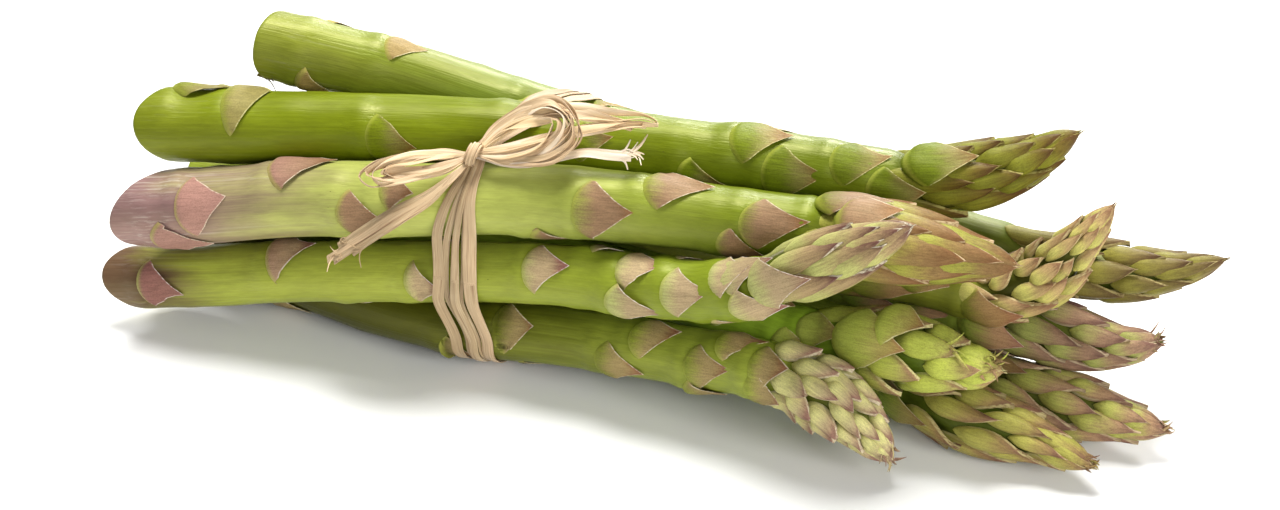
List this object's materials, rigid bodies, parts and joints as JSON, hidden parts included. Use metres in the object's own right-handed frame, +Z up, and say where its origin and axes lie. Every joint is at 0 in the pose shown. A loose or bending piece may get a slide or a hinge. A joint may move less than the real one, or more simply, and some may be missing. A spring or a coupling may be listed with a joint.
{
  "type": "bundle of asparagus",
  "caption": "Thick asparagus spears with pointed scaly heads, lying in a loose bundle held by a flat raffia tie with a bow.",
  "frame": {"origin": "centre of the bounding box seen from above, at the height of the surface the bundle lies on", "axes": "+X along the bundle towards the tips, +Y to the far side away from the bow, +Z up"},
  "size_m": [0.2526, 0.0722, 0.0691],
  "materials": {
    "spear_green": "fresh waxy green skin, satin",
    "spear_pale": "pale green skin flushed mauve at the cut end and on the scales, satin",
    "raffia": "dry palm fibre, matt with a faint sheen"
  },
  "bodies": {
    "root": {"spear_a": "spear_green", "spear_b": "spear_green", "spear_c": "spear_pale", "spear_d": "spear_pale", "spear_e": "spear_green", "spear_f": "spear_green", "spear_g": "spear_green", "spear_h": "spear_green", "spear_i": "spear_green", "spear_j": "spear_pale", "raffia_band": "raffia", "raffia_bow": "raffia"}
  },
  "joints": []
}
